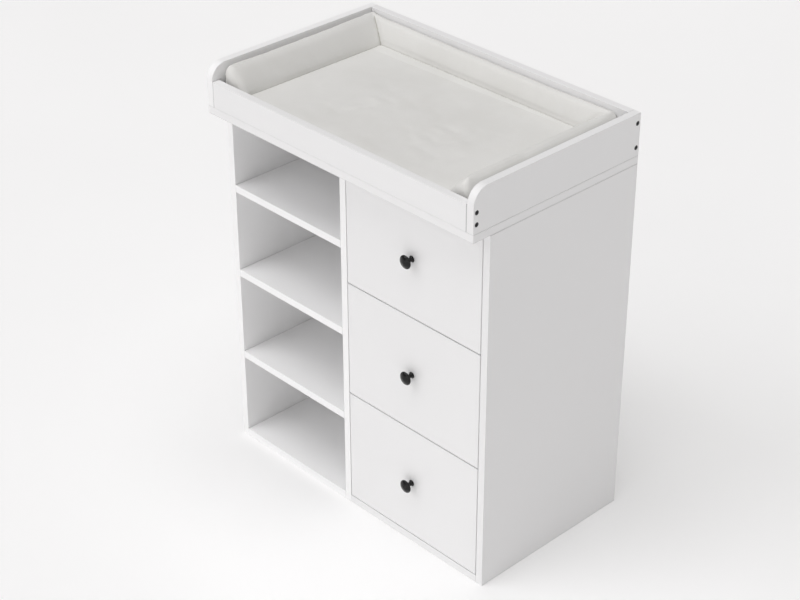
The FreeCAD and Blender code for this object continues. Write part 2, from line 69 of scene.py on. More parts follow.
# ------------------------------------------------------------------ shader helpers
class Tree:
    """A thin wrapper that keeps a node tree short to write."""

    def __init__(self, name, rough=0.4, base=(0.8, 0.8, 0.8)):
        self.m = bpy.data.materials.new(name)
        self.m.use_nodes = True
        self.t = self.m.node_tree
        self.t.nodes.clear()
        self.out = self.t.nodes.new("ShaderNodeOutputMaterial")
        self.p = self.t.nodes.new("ShaderNodeBsdfPrincipled")
        self.t.links.new(self.p.outputs[0], self.out.inputs[0])
        self.p.inputs["Roughness"].default_value = rough
        self.p.inputs["Base Color"].default_value = (*base, 1)
        self.co = self.t.nodes.new("ShaderNodeTexCoord").outputs["Object"]
        self.m.diffuse_color = (*base, 1)

    def link(self, a, b):
        self.t.links.new(a, b)
        return b

    def set(self, **kw):
        for k, v in kw.items():
            self.p.inputs[k.replace("_", " ")].default_value = v

    def mapping(self, scale=(1, 1, 1), rot=(0, 0, 0), loc=(0, 0, 0), co=None):
        n = self.t.nodes.new("ShaderNodeMapping")
        n.inputs["Scale"].default_value = scale
        n.inputs["Rotation"].default_value = rot
        n.inputs["Location"].default_value = loc
        self.link(co or self.co, n.inputs["Vector"])
        return n.outputs[0]

    def noise(self, scale, detail=3, rough=0.5, co=None, dist=0.0):
        n = self.t.nodes.new("ShaderNodeTexNoise")
        n.inputs["Scale"].default_value = scale
        n.inputs["Detail"].default_value = detail
        n.inputs["Roughness"].default_value = rough
        n.inputs["Distortion"].default_value = dist
        self.link(co or self.co, n.inputs["Vector"])
        return n.outputs["Fac"]

    def voronoi(self, scale, co=None, feature="F1"):
        n = self.t.nodes.new("ShaderNodeTexVoronoi")
        n.feature = feature
        n.inputs["Scale"].default_value = scale
        self.link(co or self.co, n.inputs["Vector"])
        return n.outputs["Distance"]

    def ramp(self, fac, lo, hi, a=0.0, b=1.0, smooth=True):
        n = self.t.nodes.new("ShaderNodeMapRange")
        n.interpolation_type = "SMOOTHSTEP" if smooth else "LINEAR"
        n.inputs["From Min"].default_value = lo
        n.inputs["From Max"].default_value = hi
        n.inputs["To Min"].default_value = a
        n.inputs["To Max"].default_value = b
        self.link(fac, n.inputs["Value"])
        return n.outputs["Result"]

    def math(self, op, a, b=None, c=None):
        n = self.t.nodes.new("ShaderNodeMath")
        n.operation = op
        for i, v in enumerate((a, b, c)):
            if v is None:
                continue
            if isinstance(v, (int, float)):
                n.inputs[i].default_value = v
            else:
                self.link(v, n.inputs[i])
        return n.outputs[0]

    def mix(self, fac, a, b):
        n = self.t.nodes.new("ShaderNodeMix")
        n.data_type = "RGBA"
        if isinstance(fac, (int, float)):
            n.inputs[0].default_value = fac
        else:
            self.link(fac, n.inputs[0])
        for s, v in ((6, a), (7, b)):
            if isinstance(v, tuple):
                n.inputs[s].default_value = (*v, 1)
            else:
                self.link(v, n.inputs[s])
        return n.outputs[2]

    def bump(self, height, strength=0.2, distance=0.001, normal=None):
        n = self.t.nodes.new("ShaderNodeBump")
        n.inputs["Strength"].default_value = strength
        n.inputs["Distance"].default_value = distance
        self.link(height, n.inputs["Height"])
        if normal is not None:
            self.link(normal, n.inputs["Normal"])
        return n.outputs[0]

    def xyz(self, vec):
        n = self.t.nodes.new("ShaderNodeSeparateXYZ")
        self.link(vec, n.inputs[0])
        return n.outputs[0], n.outputs[1], n.outputs[2]


def only(obj, mat):
    """The object's one material."""
    obj.data.materials.clear()
    obj.data.materials.append(mat)
    for p in obj.data.polygons:
        p.material_index = 0


# ------------------------------------------------------------------ laminated board
def board_material(name, node, thick, tone=(0.88, 0.88, 0.882), seed=0.0, rough=0.36, joints=()):
    """White melamine board with a thin edge band: fine pearl texture on the faces, a hairline where face and band
    meet, softly uneven gloss. thick is the axis of the board's thickness."""
    lo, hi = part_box(node)
    t = Tree(name, rough, tone)
    c = t.mapping(loc=(seed * 1.3, seed * 0.7, seed * 2.1))
    cloud = t.noise(2.3, 3, 0.55, c)
    fine = t.noise(900, 2, 0.5, c)
    pearl = t.noise(230, 4, 0.6, c)
    smear = t.noise(1.0, 5, 0.62, t.mapping((9, 9, 31), co=c), 0.6)
    xyz = t.xyz(t.co)
    dists = []
    for a in range(3):
        if a == thick:
            continue
        half, mid = (hi[a] - lo[a]) / 2, (hi[a] + lo[a]) / 2
        dists.append(t.math("SUBTRACT", half, t.math("ABSOLUTE", t.math("SUBTRACT", xyz[a], mid))))
    d = t.math("MINIMUM", dists[0], dists[1])
    # hairline 1.1 mm in from the edge, on the broad faces only
    g = t.t.nodes.new("ShaderNodeNewGeometry")
    facing = t.xyz(g.outputs["True Normal"])
    broad = t.ramp(t.math("ABSOLUTE", facing[thick]), 0.4, 0.8)
    line = t.math("MULTIPLY", t.math("COMPARE", d, 0.00125, 0.00016), broad)
    band = t.math("MULTIPLY", t.ramp(d, 0.0011, 0.00118, 1.0, 0.0), broad)
    base = t.mix(t.ramp(cloud, 0.35, 0.7), tuple(v * 0.992 for v in tone), tone)
    base = t.mix(t.math("MULTIPLY", t.ramp(fine, 0.62, 0.75), 0.10), base, tuple(v * 0.93 for v in tone))
    base = t.mix(t.math("MULTIPLY", line, 0.55), base, tuple(v * 0.62 for v in tone))
    base = t.mix(t.math("MULTIPLY", band, 0.35), base, tuple(min(1, v * 1.02) for v in tone))
    # painted shade: a dark hairline where this board butts against the next one, in place of the shade in a gap: (axis,
    # place, strength, wider by)
    for a, place, strength, wider in [(tuple(j) + (1.0,))[:4] for j in joints]:
        beside = t.ramp(t.math("ABSOLUTE", facing[a]), 0.2, 0.6, 1.0, 0.0)
        gap_shade = t.ramp(t.math("ABSOLUTE", t.math("SUBTRACT", xyz[a], place)), 0.0006 * wider, 0.0013 * wider, strength,
                     0.0)
        base = t.mix(t.math("MULTIPLY", gap_shade, beside), base, tuple(v * 0.16 for v in tone))
    t.link(base, t.p.inputs["Base Color"])
    r = t.math("ADD", t.ramp(cloud, 0.3, 0.7, rough - 0.03, rough + 0.03), t.ramp(smear, 0.42, 0.72, -0.015, 0.05))
    r = t.math("SUBTRACT", r, t.math("MULTIPLY", band, 0.05))
    t.link(r, t.p.inputs["Roughness"])
    h = t.math("ADD", t.math("MULTIPLY", pearl, 0.6), t.math("MULTIPLY", fine, 0.4))
    n1 = t.bump(h, 0.10, 0.00012)
    n2 = t.bump(t.math("MULTIPLY", line, -1.0), 0.5, 0.0002, n1)
    t.link(n2, t.p.inputs["Normal"])
    t.set(Specular_IOR_Level=0.42)
    return t.m


def sheet_material(name, tone=(0.955, 0.955, 0.95)):
    """White-faced hardboard: duller, with a faint fibre mottle and pressed screen texture."""
    t = Tree(name, 0.52, tone)
    mot = t.noise(38, 5, 0.65)
    fib = t.noise(260, 3, 0.6, t.mapping((1.0, 1.0, 5.0)))
    xyz = t.xyz(t.co)
    base = t.mix(t.ramp(mot, 0.35, 0.7), tuple(v * 0.975 for v in tone), tone)
    base = t.mix(t.math("MULTIPLY", t.ramp(fib, 0.6, 0.78), 0.12), base, tuple(v * 0.86 for v in tone))
    t.link(base, t.p.inputs["Base Color"])
    t.link(t.ramp(mot, 0.3, 0.75, 0.46, 0.6), t.p.inputs["Roughness"])
    t.link(t.bump(fib, 0.18, 0.0002), t.p.inputs["Normal"])
    return t.m


def metal_material(name, tone, rough, metallic=1.0, scale=400.0, grain=(1, 1, 1), spec=0.5, wear=None, depth=0.00006):
    t = Tree(name, rough, tone)
    g = t.noise(scale, 4, 0.6, t.mapping(grain))
    cl = t.noise(35, 3, 0.5)
    base = t.mix(t.ramp(cl, 0.3, 0.72), tuple(v * 0.88 for v in tone), tone)
    if wear:
        spots = t.ramp(t.noise(170, 5, 0.7), 0.66, 0.72)
        base = t.mix(t.math("MULTIPLY", spots, 0.5), base, wear)
    t.link(base, t.p.inputs["Base Color"])
    t.link(t.math("ADD", t.ramp(g, 0.3, 0.7, rough - 0.06, rough + 0.06), t.ramp(cl, 0.3, 0.7, -0.03, 0.03)),
           t.p.inputs["Roughness"])
    t.link(t.bump(g, 0.25, depth), t.p.inputs["Normal"])
    t.set(Metallic=metallic, Specular_IOR_Level=spec)
    return t.m


def plastic_material(name, tone, rough, sss=0.0):
    t = Tree(name, rough, tone)
    g = t.noise(520, 3, 0.55)
    cl = t.noise(60, 3, 0.5)
    t.link(t.mix(t.ramp(cl, 0.3, 0.7), tuple(v * 0.96 for v in tone), tone), t.p.inputs["Base Color"])
    t.link(t.ramp(cl, 0.3, 0.7, rough - 0.04, rough + 0.05), t.p.inputs["Roughness"])
    t.link(t.bump(g, 0.2, 0.00008), t.p.inputs["Normal"])
    return t.m


def beech_material(name):
    t = Tree(name, 0.6, (0.62, 0.43, 0.25))
    ring = t.noise(60, 4, 0.6, t.mapping((1, 6, 6)))
    fleck = t.noise(700, 2, 0.5, t.mapping((0.3, 1, 1)))
    base = t.mix(t.ramp(ring, 0.3, 0.7), (0.55, 0.36, 0.2), (0.68, 0.49, 0.31))
    base = t.mix(t.math("MULTIPLY", t.ramp(fleck, 0.6, 0.72), 0.5), base, (0.4, 0.24, 0.12))
    t.link(base, t.p.inputs["Base Color"])
    t.link(t.ramp(ring, 0.3, 0.7, 0.52, 0.7), t.p.inputs["Roughness"])
    t.link(t.bump(fleck, 0.3, 0.0002), t.p.inputs["Normal"])
    return t.m


THICK = {"side_panel": 0, "divider": 0, "tray_left": 0, "tray_right": 0, "_left_side": 0, "_right_side": 0,
         "tray_front": 1, "tray_back": 1, "_front": 1, "_back": 1, "shelf": 2, "bottom_panel": 2, "top_board": 2}


def thick_axis(n):
    for key in ("side_panel", "bottom_panel", "divider", "tray_left", "tray_right", "_left_side", "_right_side",
                "tray_front", "tray_back", "shelf", "top_board", "_front", "_back"):
        if key in n:
            return THICK[key]
    return 2


record = frame["record"]
slots = {s["node"]: s["material_slot"] for s in record["subparts"]}
shared = {
    "white_sheet": sheet_material("White_Hardboard"),
    "beech": beech_material("Beech_Dowel"),
    "zinc_fittings": metal_material("Zinc_Plate", (0.62, 0.63, 0.65), 0.3, 1.0, 300, (1, 1, 1), wear=(0.45, 0.45, 0.44)),
    "black_screw": metal_material("Black_Oxide_Steel", (0.022, 0.022, 0.024), 0.42, 0.2, 500, spec=0.5),
    "white_runner_steel": metal_material("White_Epoxy_Steel", (0.76, 0.76, 0.75), 0.38, 0.0, 260, (1, 1, 1), 0.45,
                                         depth=0.0001),
    "bracket_steel": metal_material("White_Powder_Coat", (0.74, 0.74, 0.74), 0.45, 0.0, 700, (1, 1, 1), 0.4,
                                    depth=0.00015),
    "roller_plastic": plastic_material("Nylon_Roller", (0.70, 0.70, 0.67), 0.4),
}
top_lo, top_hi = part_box("top_board")
sides = [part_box(n)[0].x for n in ("tray_front_rail",)] + [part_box("tray_front_rail")[1].x]
shelf_lo, shelf_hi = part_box("upper_shelf")
right_lo, right_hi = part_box("right_bottom_panel")
# where each board gets a painted shade hairline at its joints: (axis, place, strength, wider by)
JOINTS = {
    "top_board": [(2, top_lo.z, 0.65)],
    "tray_left_rail": [(2, top_hi.z, 0.7)], "tray_right_rail": [(2, top_hi.z, 0.7)],
    "tray_front_rail": [(2, top_hi.z, 0.25), (0, sides[0], 0.85, 1.7), (0, sides[1], 0.85, 1.9)],
    "tray_back_rail": [(2, top_hi.z, 0.5), (0, sides[0], 0.5), (0, sides[1], 0.5)],
    "left_side_panel": [(2, top_lo.z, 0.55)], "right_side_panel": [(2, top_lo.z, 0.55)],
    "center_divider": [(2, top_lo.z, 0.5)],
    "left_bottom_panel": [(0, shelf_lo.x, 0.5), (0, shelf_hi.x, 0.5)],
    "right_bottom_panel": [(0, right_lo.x, 0.5), (0, right_hi.x, 0.5)],
}
for n in ("upper_shelf", "middle_shelf", "lower_shelf"):
    JOINTS[n] = [(0, shelf_lo.x, 0.5), (0, shelf_hi.x, 0.5)]
for i, (n, o) in enumerate(sorted(nodes.items())):
    s = slots[n]
    if s == "white_board":
        # painted light: the boards inside the cubbies get a lighter copy of the board tone, and the left tray rail one
        # in between, to lift the shade they stand in
        lightened_for_shade = n in ("left_side_panel", "center_divider", "left_bottom_panel") or n.endswith("_shelf")
        tone = (0.868, 0.868, 0.87)
        if lightened_for_shade:
            tone = (0.965, 0.965, 0.967)
        elif n == "tray_left_rail":
            tone = (0.94, 0.94, 0.942)
        only(o, board_material("Board_" + n, n, thick_axis(n), tone, seed=i * 0.37, joints=JOINTS.get(n, ())))
    elif s in shared:
        only(o, shared[s])


# ------------------------------------------------------------------ knobs: turned, black, high gloss
def knob_material():
    t = Tree("Black_Gloss_Knob", 0.2, (0.005, 0.005, 0.0055))
    sm = t.noise(120, 5, 0.65, dist=0.4)
    cl = t.noise(40, 3, 0.5)
    t.link(t.mix(t.ramp(cl, 0.3, 0.7), (0.004, 0.004, 0.0045), (0.007, 0.007, 0.007)), t.p.inputs["Base Color"])
    t.link(t.ramp(sm, 0.4, 0.75, 0.18, 0.34), t.p.inputs["Roughness"])
    t.link(t.bump(t.noise(300, 3, 0.5), 0.08, 0.0001), t.p.inputs["Normal"])
    t.set(Coat_Weight=0.2, Coat_Roughness=0.08, Specular_IOR_Level=0.22)
    return t.m


def bezier_profile(pts, n=6):
    """A smooth run through (s, r) points by Catmull-Rom, ends kept."""
    p = [np.array(q, float) for q in pts]
    out = []
    for i in range(len(p) - 1):
        p0 = p[i - 1] if i else p[0] * 2 - p[1]
        p3 = p[i + 2] if i + 2 < len(p) else p[-1] * 2 - p[-2]
        for k in range(n):
            u = k / n
            out.append(0.5 * ((2 * p[i]) + (-p0 + p[i + 1]) * u + (2 * p0 - 5 * p[i] + 4 * p[i + 1] - p3) * u * u
                              + (-p0 + 3 * p[i] - 3 * p[i + 1] + p3) * u ** 3))
    out.append(p[-1])
    return out


def lathe(name, rings, origin, axis, segments=96, closed_start=True):
    """Turns (distance, radius) rings about axis from origin: a closed mesh with fan caps."""
    ax = Vector(axis).normalized()
    ref = Vector((1, 0, 0)) if abs(ax.x) < 0.5 else Vector((0, 0, 1))
    u = (ref - ax * ref.dot(ax)).normalized()
    v = ax.cross(u)
    bm = bmesh.new()
    loops = []
    o = Vector(origin)
    for s, r in rings:
        if r < 1e-7:
            loops.append([bm.verts.new(o + ax * s)])
        else:
            loops.append([bm.verts.new(o + ax * s + (u * math.cos(2 * math.pi * k / segments)
                                                     + v * math.sin(2 * math.pi * k / segments)) * r)
                          for k in range(segments)])
    for a, b in zip(loops, loops[1:]):
        for k in range(segments):
            j = (k + 1) % segments
            if len(a) == 1:
                bm.faces.new((a[0], b[j], b[k]))
            elif len(b) == 1:
                bm.faces.new((a[k], a[j], b[0]))
            else:
                bm.faces.new((a[k], a[j], b[j], b[k]))
    bmesh.ops.recalc_face_normals(bm, faces=bm.faces)
    me = bpy.data.meshes.new(name)
    bm.to_mesh(me)
    bm.free()
    for p in me.polygons:
        p.use_smooth = True
    ob = bpy.data.objects.new(name, me)
    scene.collection.objects.link(ob)
    return ob


knob_mat = knob_material()
for n in (1, 2, 3):
    node = "drawer_%d_knob" % n
    lo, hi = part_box(node)
    cx, cz = (lo.x + hi.x) / 2, (lo.z + hi.z) / 2
    y0 = hi.y                                  # seat on the drawer front
    depth = (hi.y - lo.y)
    prof = [(0.0, 0.0), (0.0, 7.1), (0.25, 7.35), (0.9, 7.5), (1.4, 7.2), (1.9, 6.4), (3.2, 5.5), (5.4, 4.85),
            (7.6, 4.75), (9.8, 5.15), (11.8, 6.1), (13.4, 7.7), (14.7, 9.9), (15.9, 12.4), (17.0, 14.3), (18.2, 15.3),
            (19.3, 15.4), (20.4, 14.75), (21.6, 13.2), (23.2, 10.5), (24.6, 7.3), (25.6, 4.1), (26.2, 1.6), (26.3, 0.0)]
    k = depth * 1000 / 26.5
    rings = [(0.0, 0.0)] + [(float(s) * k / 1000, float(r) / 1000) for s, r in bezier_profile(prof[1:-1], 4)]
    rings.append((26.4 * k / 1000, 0.0))
    ob = lathe("knob_%d" % n, rings, (cx, y0, cz), (0, -1, 0), 96)
    only(ob, knob_mat)
    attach(ob, "drawer_%d" % n)
    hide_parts(node)

# ------------------------------------------------------------------ the changing pad
MM = 0.001
# Millimetres in here. A foam slab with a wedge along the left, back and right, in one welded cover.
plo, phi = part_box("changing_pad")
PL, PR, PF, PB, PZ = plo.x * 1000, phi.x * 1000, plo.y * 1000, phi.y * 1000, plo.z * 1000
FLAT, CREST = 40.0, 91.5                    # heights over the top board
FOOT_L, FOOT_R, FOOT_B = PL + 68, PR - 68, PB - 38
CORNER = 13.0                               # plan corner radius
EDGE_H, EDGE_V = 17.0, 14.0                 # rounding of the top edge: across, down


def smooth(t):
    t = np.clip(t, 0, 1)
    return t * t * (3 - 2 * t)


def smin(a, b, k):
    h = np.clip(0.5 + 0.5 * (b - a) / k, 0, 1)
    return b * (1 - h) + a * h - k * h * (1 - h)


def smax(a, b, k):
    return -smin(-a, -b, k)


def lines(a, b, marks, base):
    """Grid lines from a to b, base apart and closer round each (position, half width, step)."""
    xs = np.linspace(a, b, 6001)
    step = np.full_like(xs, base)
    for p, w, s in marks:
        step = np.minimum(step, s + (base - s) * smooth((np.abs(xs - p) - w) / (w + 4)))
    cum = np.concatenate([[0], np.cumsum(np.diff(xs) / ((step[1:] + step[:-1]) / 2))])
    n = int(round(cum[-1]))
    return np.interp(np.linspace(0, cum[-1], n + 1), cum, xs)


def ripple(x, y, scale, seed):
    """Smooth, repeatable unevenness, about -1 to 1."""
    flat_x, flat_y = np.ravel(x) * scale, np.ravel(y) * scale
    out = np.array([noise.noise((a, b, seed)) for a, b in zip(flat_x, flat_y)])
    return out.reshape(np.shape(x)) * 1.8


def segment(x, y, x0, y0, x1, y1):
    """Distance to a segment, and the share of the way along it."""
    dx, dy = x1 - x0, y1 - y0
    t = np.clip(((x - x0) * dx + (y - y0) * dy) / (dx * dx + dy * dy), 0, 1)
    return np.hypot(x - x0 - t * dx, y - y0 - t * dy), t


# Soft creases and hollows pressed into the flat: x0, y0, x1, y1, half width, height (below 0 is a hollow)
CREASES = [
    (-108, -27, -90, -30, 9, 1.9), (-111, -94, -103, -78, 9, 2.0), (86, -32, 106, -34, 9, 2.0), (78, -86, 104, -96, 9, 1.7),
    (-82, -9, -66, -12, 9, -1.7), (-91, -74, -80, -58, 9, -1.5), (108, -12, 126, -16, 9, -1.8), (104, -68, 126, -77, 9, -1.5),
    (-160, -117, -104, -130, 9, -1.0), (-58, 24, -14, 10, 10, -1.0), (-140, 42, -112, 26, 8, -1.0), (112, -117, 174, -123, 10, -1.1),
    (44, -74, 84, -98, 9, -1.1), (28, 26, 62, 8, 10, -1.0), (150, 18, 168, -28, 10, -1.1), (190, 34, 214, 42, 10, -0.9),
    (158, -60, 140, -84, 8, -0.9), (214, -88, 212, -108, 9, -0.9), (160, 108, 168, 76, 10, -0.9), (-250, -70, -205, -96, 12, -0.8),
    (-236, 40, -180, 74, 14, -0.8), (-20, 96, 48, 84, 14, -0.7), (-190, -160, -120, -176, 12, -0.9), (12, -160, 70, -176, 12, -0.8),
    (-48, -8, -28, -26, 10, 1.1), (176, -48, 196, -72, 12, 1.1), (150, 2, 132, 14, 11, 0.9), (-30, -70, 20, -92, 14, 0.8),
    (-170, -30, -146, 8, 15, 0.9), (230, 0, 246, 30, 15, 0.9), (118, -140, 170, -150, 11, 0.9), (-210, -128, -180, -112, 11, 0.8),
]


def relief(x, y):
    """What the soft cover does on the flat: a slight crown, a roll along the back seam, creases and hollows."""
    u = (x - FOOT_L) / (FOOT_R - FOOT_L)
    v = (y - PF) / (FOOT_B - PF)
    inside = smooth((x - FOOT_L) / 22) * smooth((FOOT_R - x) / 22) * smooth((FOOT_B - y) / 12)
    z = 2.2 * np.clip(4 * u * (1 - u), 0, 1) ** 0.6 * np.clip(4 * v * (1 - v), 0, 1) ** 0.6
    for x0, y0, x1, y1, w, h in CREASES:
        d, t = segment(x, y, x0, y0, x1, y1)
        z = z + 0.78 * h * np.exp(-(d / (1.12 * w)) ** 2) * inside
    near = np.interp(x, [-310, -211, -140, -67, 0, 81, 165, 294], [150, 151, 154, 156, 158, 163, 167, 171])
    t = np.clip((y - near) / (FOOT_B - near), 0, 1)
    strength = np.interp(x, [-310, -285, -200, -60, 90, 230, 275, 294], [0.0, 0.55, 1.0, 0.95, 0.9, 0.75, 0.4, 0.0])
    roll = np.sin(np.pi * t ** 1.7) ** 0.9
    z = z + 2.0 * strength * roll - 1.8 * strength * np.exp(-((y - near + 1.0) / 2.6) ** 2)
    return z


def height(x, y):
    """Height of the pad's top over the top board, without the rounding of its outer edge."""
    el, er, eb = x - PL, PR - x, PB - y
    wob = WOBBLE(x, y)
    top = CREST + 1.2 * wob + 1.6 * smooth((PL + 60 - x) / 30)
    left = smin(top, FLAT + (FOOT_L - x) * 50 / 48, 11)
    right_ = smin(top, FLAT + (x - FOOT_R) * 50 / 48, 11)
    rear = smin(top, FLAT + (y - FOOT_B) * 50 / 24, 9)
    for_bulge = lambda t: 1.8 * np.clip(4 * t * (1 - t), 0, 1)
    left = left + for_bulge((FOOT_L - x) / 50)
    right_ = right_ + for_bulge((x - FOOT_R) / 50)
    rear = rear + for_bulge((y - FOOT_B) / 26)
    wedges = smax(smax(left, right_, 1.5), rear, 1.5)
    # outside, the right wedge falls away at about 50 degrees and the left one is squarer
    wedges = smin(wedges, np.minimum(top - (PL + 4 - x), top - 1.25 * (x - PR + 17)), 3.5)
    h = smax(FLAT + relief(x, y), wedges, 1.2)
    # the welded seams: along each foot and up the two mitres
    seam = 3.4 * np.exp(-((x - FOOT_L) / 1.5) ** 2) * smooth((FOOT_B + 3 - y) / 5)
    seam = seam + 4.2 * np.exp(-((x - FOOT_R) / 1.5) ** 2) * smooth((FOOT_B + 3 - y) / 5)
    across = smooth((x - FOOT_L + 2) / 5) * smooth((FOOT_R + 2 - x) / 5)
    seam = seam + 2.0 * np.exp(-((y - FOOT_B) / 1.5) ** 2) * across
    for sx, fx in ((-1, FOOT_L), (1, FOOT_R)):
        d, t = segment(x, y, fx, FOOT_B, fx + sx * 52, FOOT_B + 26)
        seam = seam + 3.4 * np.exp(-(d / 1.6) ** 2) * (1 - 0.6 * t) * smooth((0.96 - t) / 0.3)
        # the cover gathers into the corner: two short tucks either side of the mitre
        for bx, by, dep in ((-sx * 13, 3, 1.5), (sx * 3, -14, 1.3)):
            d, t = segment(x, y, fx, FOOT_B, fx + bx, FOOT_B + by)
            seam = seam + dep * np.exp(-(d / 2.2) ** 2) * (1 - t)
    # puckers run out from the seams
    pl_ = np.sin(y / 3.1 + 2.2 * np.sin(y / 23.0)) * np.exp(-(np.abs(x - FOOT_L) / 9) ** 1.3) * smooth((FOOT_B - y) / 8)
    pr_ = np.sin(y / 3.3 + 2.0 * np.sin(y / 19.0)) * np.exp(-(np.abs(x - FOOT_R) / 9) ** 1.3) * smooth((FOOT_B - y) / 8)
    pb_ = np.sin(x / 3.4 + 2.4 * np.sin(x / 27.0)) * np.exp(-(np.abs(y - FOOT_B) / 8) ** 1.3) * across
    return h - seam + 0.28 * (pl_ + pr_ + pb_)


def pad_mesh(step=4.4):
    global WOBBLE
    xs = lines(PL, PR, [(PL, 15, 2.0), (FOOT_L, 4, 1.1), (FOOT_L - 30, 26, 2.8), (PR, 15, 2.0), (FOOT_R, 4, 1.1),
                        (FOOT_R + 30, 26, 2.8)], step)
    ys = lines(PF, PB, [(PF, 15, 2.0), (FOOT_B, 4, 1.1), (FOOT_B - 18, 16, 2.6), (PB - 12, 26, 2.0)], step)
    gx, gy = np.meshgrid(xs, ys, indexing="ij")
    table = {}

    def wobble(x, y):
        key = np.shape(x)
        if key not in table:
            table[key] = ripple(x, y, 0.011, 3.7) + 0.35 * ripple(x, y, 0.035, 8.1)
        return table[key]

    WOBBLE = wobble
    # round the plan corners, ring by ring
    dx, dy = np.minimum(gx - PL, PR - gx), np.minimum(gy - PF, PB - gy)
    d = np.minimum(dx, dy)
    r = np.maximum(CORNER - d, 0)
    a, b = dx - d, dy - d
    on_x = (a <= b)                           # on a ring's x side: a == 0
    along = np.where(on_x, b, a)
    inside = (r > 0) & (along < r)
    t = np.where(inside, along / np.maximum(r, 1e-9), 1)
    ang = (1 - t) * math.pi / 4
    na, nb = r - r * np.cos(ang), r - r * np.sin(ang)
    a2 = np.where(inside, np.where(on_x, na, nb), a)
    b2 = np.where(inside, np.where(on_x, nb, na), b)
    sx, sy = np.where(gx < (PL + PR) / 2, 1, -1), np.where(gy < (PF + PB) / 2, 1, -1)
    x = np.where(sx > 0, PL, PR) + sx * (a2 + d)
    y = np.where(sy > 0, PF, PB) + sy * (b2 + d)
    # rounding of the top edge
    h = height(x, y)
    at_front = smooth((PF + 30 - gy) / 26)
    side = smooth((gx - PR + 18) / 6) * (1 - at_front)
    left_side = smooth((PL + 18 - gx) / 6) * (1 - at_front)
    eh, ev = EDGE_H - 9 * side - 7 * left_side, EDGE_V - 7 * side - 6 * left_side + 7 * at_front
    k = np.clip((eh - d) / eh, 0, 1)
    h = h - ev * (1 - np.sqrt(np.maximum(1 - k ** 2, 0)))
    # the sides pull in a little between the corners
    px, py = (x - (PL + PR) / 2) / ((PR - PL) / 2), (y - (PF + PB) / 2) / ((PB - PF) / 2)
    pull_x = 1.8 * (1 - py ** 2) * smooth((np.abs(px) - 0.8) / 0.2)
    front = smooth((-py - 0.7) / 0.3)
    pull_y = 3.2 * front * (1 - np.abs(px) ** 2.2) ** 1.0
    x2, y2 = x - np.sign(px) * pull_x, y + pull_y

    nx, ny = len(xs), len(ys)
    idx = np.arange(nx * ny).reshape(nx, ny)
    verts = [np.stack([x2.ravel(), y2.ravel(), h.ravel()], 1)]
    quads = np.stack([idx[:-1, :-1], idx[1:, :-1], idx[1:, 1:], idx[:-1, 1:]], -1).reshape(-1, 4).tolist()
    loop = np.concatenate([idx[:, 0], idx[-1, 1:], idx[-2::-1, -1], idx[0, -2:0:-1]])
    lp = verts[0][loop]
    nxt, prv = np.roll(lp, -1, 0), np.roll(lp, 1, 0)
    tan = (nxt - prv)[:, :2]
    tan /= np.linalg.norm(tan, axis=1)[:, None]
    out = np.stack([tan[:, 1], -tan[:, 0]], 1)      # outward, the loop runs anticlockwise
    base_seam, low = 8.0, 4.5
    rows = []
    m = 9
    ztop = lp[:, 2]
    for i in range(1, m + 1):
        f = i / m
        z = ztop + (base_seam + 2.5 - ztop) * f
        bow = 0.8 * np.sin(np.pi * f)
        rows.append((z, -0.6 * f + bow - 0.4))
    rows.append((np.full(len(loop), base_seam + 1.1), np.full(len(loop), -1.2)))
    rows.append((np.full(len(loop), base_seam), np.full(len(loop), -2.5)))
    rows.append((np.full(len(loop), base_seam - 1.1), np.full(len(loop), -1.3)))
    rows.append((np.full(len(loop), low), np.full(len(loop), -1.0)))
    for ang_ in (0.35, 0.7, 1.0):
        q = ang_ * math.pi / 2
        rows.append((np.full(len(loop), low * (1 - math.sin(q))), np.full(len(loop), -1.0 - low * (1 - math.cos(q)))))
    rows.append((np.full(len(loop), 0.0), np.full(len(loop), -12.0)))
    prev = loop
    count = nx * ny
    n = len(loop)
    for z, off in rows:
        ring = np.arange(count, count + n)
        verts.append(np.stack([lp[:, 0] + out[:, 0] * off, lp[:, 1] + out[:, 1] * off, np.broadcast_to(z, (n,))], 1))
        quads += np.stack([prev, ring, np.roll(ring, -1), np.roll(prev, -1)], 1).tolist()
        prev, count = ring, count + n
    v = np.concatenate(verts)
    # how firmly each point is held: seams and base fast, the rest free
    hold = np.zeros(len(v))
    hold[nx * ny + n * 5:] = 1.0
    for i in range(5):
        hold[nx * ny + n * i: nx * ny + n * (i + 1)] = 0.25 + 0.15 * i
    X, Y = gx.ravel(), gy.ravel()
    s = np.zeros(nx * ny)
    for fx in (FOOT_L, FOOT_R):
        s = np.maximum(s, np.exp(-((X - fx) / 2.2) ** 2) * smooth((FOOT_B + 3 - Y) / 5))
        dd, tt = segment(X, Y, fx, FOOT_B, fx + (-52 if fx < 0 else 52), FOOT_B + 26)
        s = np.maximum(s, np.exp(-(dd / 2.4) ** 2))
    s = np.maximum(s, np.exp(-((Y - FOOT_B) / 2.2) ** 2) * smooth((X - FOOT_L + 2) / 5) * smooth((FOOT_R + 2 - X) / 5))
    hold[: nx * ny] = np.clip(s, 0, 1)
    hold[loop] = np.maximum(hold[loop], 0.2)
    v[:, 2] += PZ
    return v * 0.001, quads, hold


v0, quads, hold = pad_mesh(4.2)
me = bpy.data.meshes.new("pad_cover_mesh")
me.from_pydata(v0.tolist(), [], quads)
me.validate()
pad = bpy.data.objects.new("pad_cushion", me)
scene.collection.objects.link(pad)


